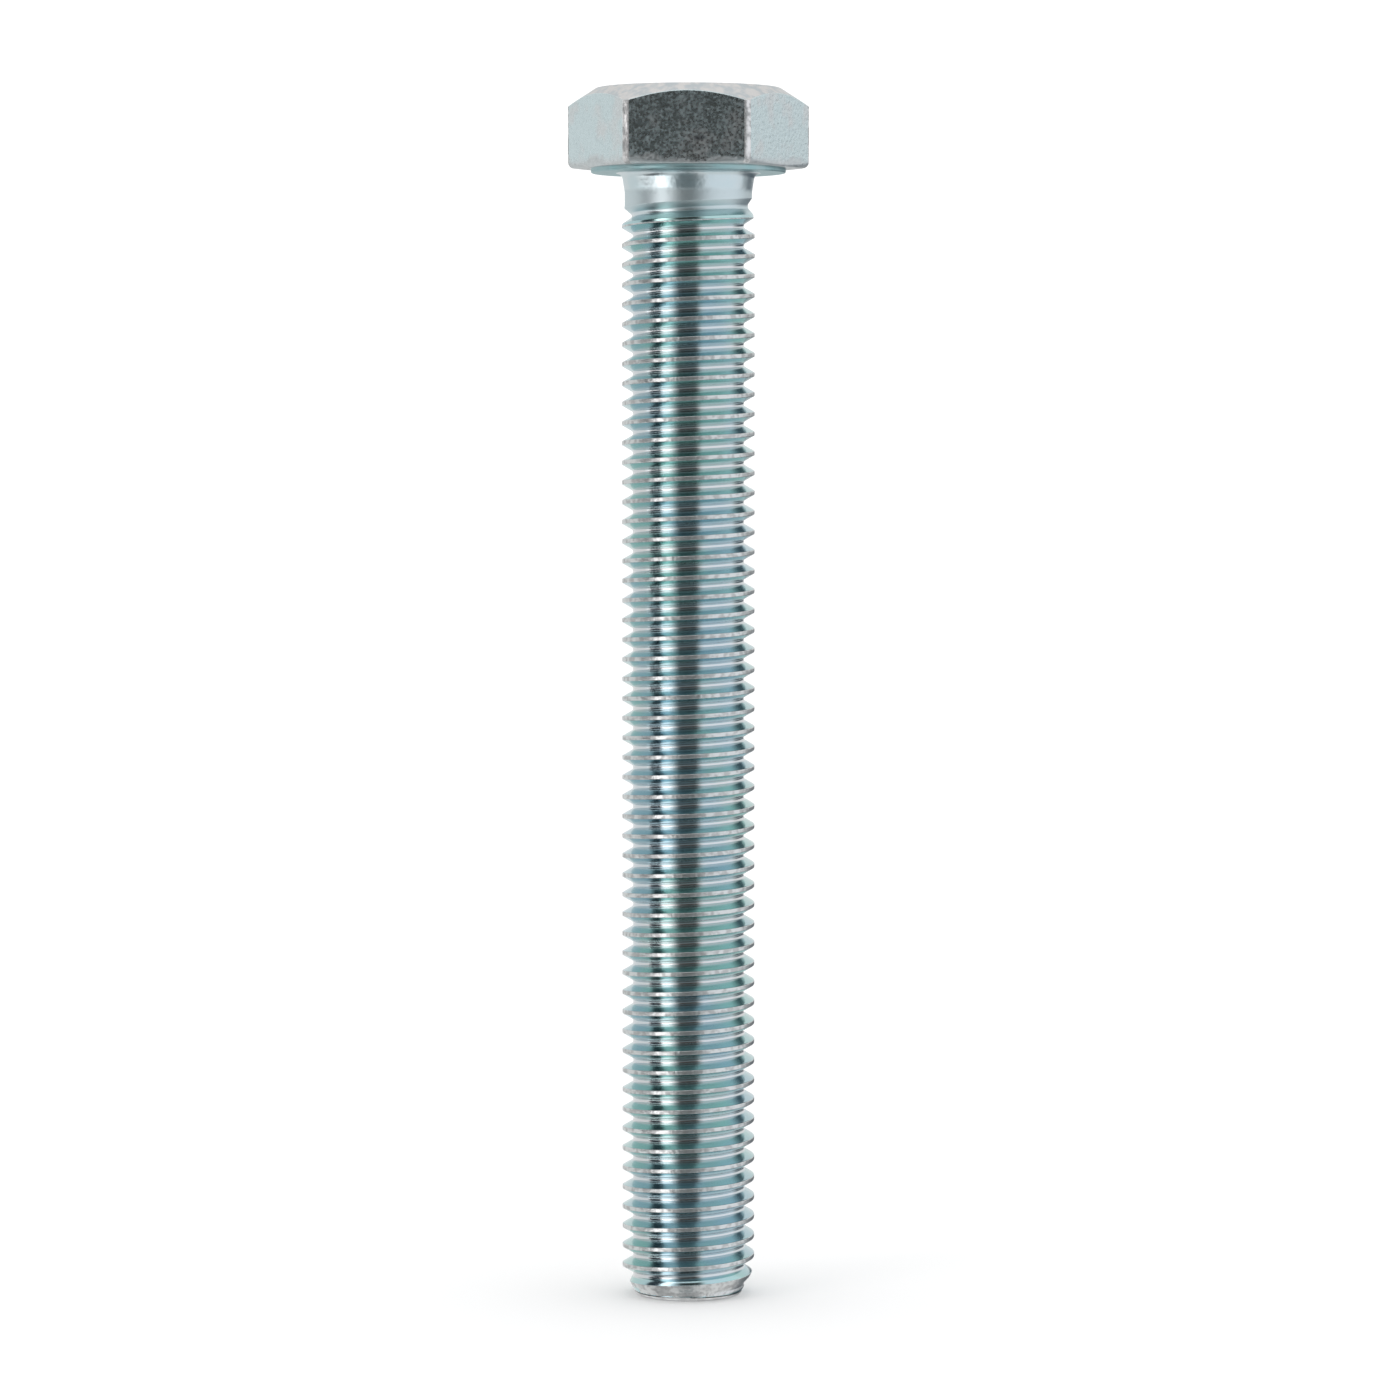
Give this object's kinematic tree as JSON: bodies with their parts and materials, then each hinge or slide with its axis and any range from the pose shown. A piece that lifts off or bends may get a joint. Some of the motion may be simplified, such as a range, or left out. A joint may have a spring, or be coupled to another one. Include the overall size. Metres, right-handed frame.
{
  "type": "hex bolt",
  "caption": "Hexagon head bolt, M12 x 1.75 x 100 mm, threaded almost to the head, with a round washer face and a chamfered point, zinc plated steel.",
  "frame": {"origin": "centre of the bearing face under the head, on the bolt's axis", "axes": "+Z along the axis towards the head, with the shank below the origin; +Y square to one pair of the head's flats; +X through one pair of its corners"},
  "size_m": [0.0214, 0.0186, 0.1075],
  "materials": {
    "zinc_plated_steel": "bright zinc plate with a clear blue passivate, smooth on the rolled thread and finely pitted on the head"
  },
  "bodies": {
    "root": {"hex_bolt": "zinc_plated_steel"}
  },
  "joints": []
}
